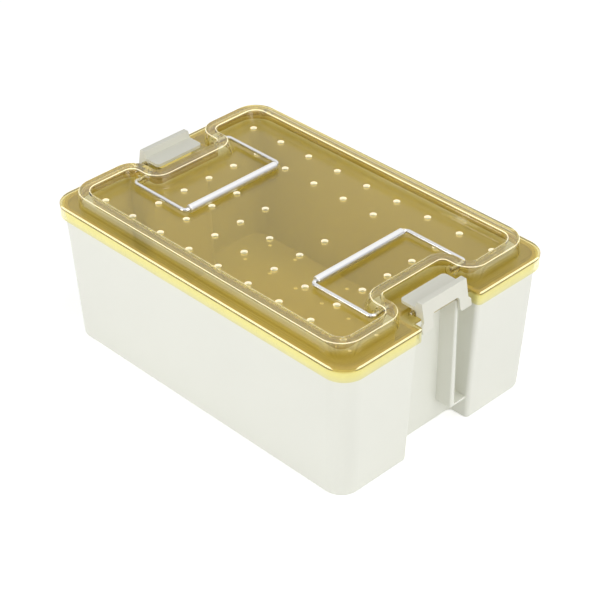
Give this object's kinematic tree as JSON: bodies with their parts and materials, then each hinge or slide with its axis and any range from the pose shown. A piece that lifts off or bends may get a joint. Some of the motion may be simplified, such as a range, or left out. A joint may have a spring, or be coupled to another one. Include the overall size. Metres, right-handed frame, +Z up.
{
  "type": "sterilization tray",
  "caption": "Sterilization tray: off-white plastic tub with a perforated translucent amber lid, folding wire handles and rocking end latches.",
  "frame": {"origin": "under the middle of the tub's flat base, at the floor", "axes": "+X along the long side towards the near end in the picture, +Y across towards the back long side, +Z up"},
  "size_m": [0.28, 0.191, 0.1178],
  "materials": {
    "tub_plastic": "satin off-white moulding",
    "lid_plastic": "clear amber moulding, polished",
    "latch_plastic": "satin warm grey moulding",
    "pin_steel": "bright steel",
    "wire_steel": "bright drawn wire",
    "grip_sleeve": "satin silver tube"
  },
  "bodies": {
    "tub": {"tub": "tub_plastic"},
    "lid": {"lid": "lid_plastic", "latch_pin_right": "pin_steel", "latch_pin_left": "pin_steel"},
    "latch_right": {"latch_right": "latch_plastic"},
    "latch_left": {"latch_left": "latch_plastic"},
    "bail_right": {"bail_right": "wire_steel"},
    "bail_left": {"bail_left": "wire_steel"},
    "grip_right": {"grip_right": "grip_sleeve"},
    "grip_left": {"grip_left": "grip_sleeve"}
  },
  "joints": [
    {"name": "lid_lift", "type": "slide", "parent": "tub", "child": "lid", "axis": [0, 0, 1], "range_m": [0, 0.12]},
    {"name": "latch_right_hinge", "type": "hinge", "parent": "lid", "child": "latch_right", "pos_m": [0.1265, 0, 0.109], "axis": [0, -1, 0], "range_deg": [0, 17]},
    {"name": "bail_right_hinge", "type": "hinge", "parent": "lid", "child": "bail_right", "pos_m": [0.1125, 0, 0.1098], "axis": [0, 1, 0], "range_deg": [0, 110]},
    {"name": "grip_right_spin", "type": "hinge", "parent": "bail_right", "child": "grip_right", "pos_m": [0.0602, 0, 0.1098], "axis": [0, 1, 0], "continuous": true},
    {"name": "latch_left_hinge", "type": "hinge", "parent": "lid", "child": "latch_left", "pos_m": [-0.1265, 0, 0.109], "axis": [0, 1, 0], "range_deg": [0, 17]},
    {"name": "bail_left_hinge", "type": "hinge", "parent": "lid", "child": "bail_left", "pos_m": [-0.1125, 0, 0.1098], "axis": [0, -1, 0], "range_deg": [0, 110]},
    {"name": "grip_left_spin", "type": "hinge", "parent": "bail_left", "child": "grip_left", "pos_m": [-0.0602, 0, 0.1098], "axis": [0, -1, 0], "continuous": true}
  ]
}
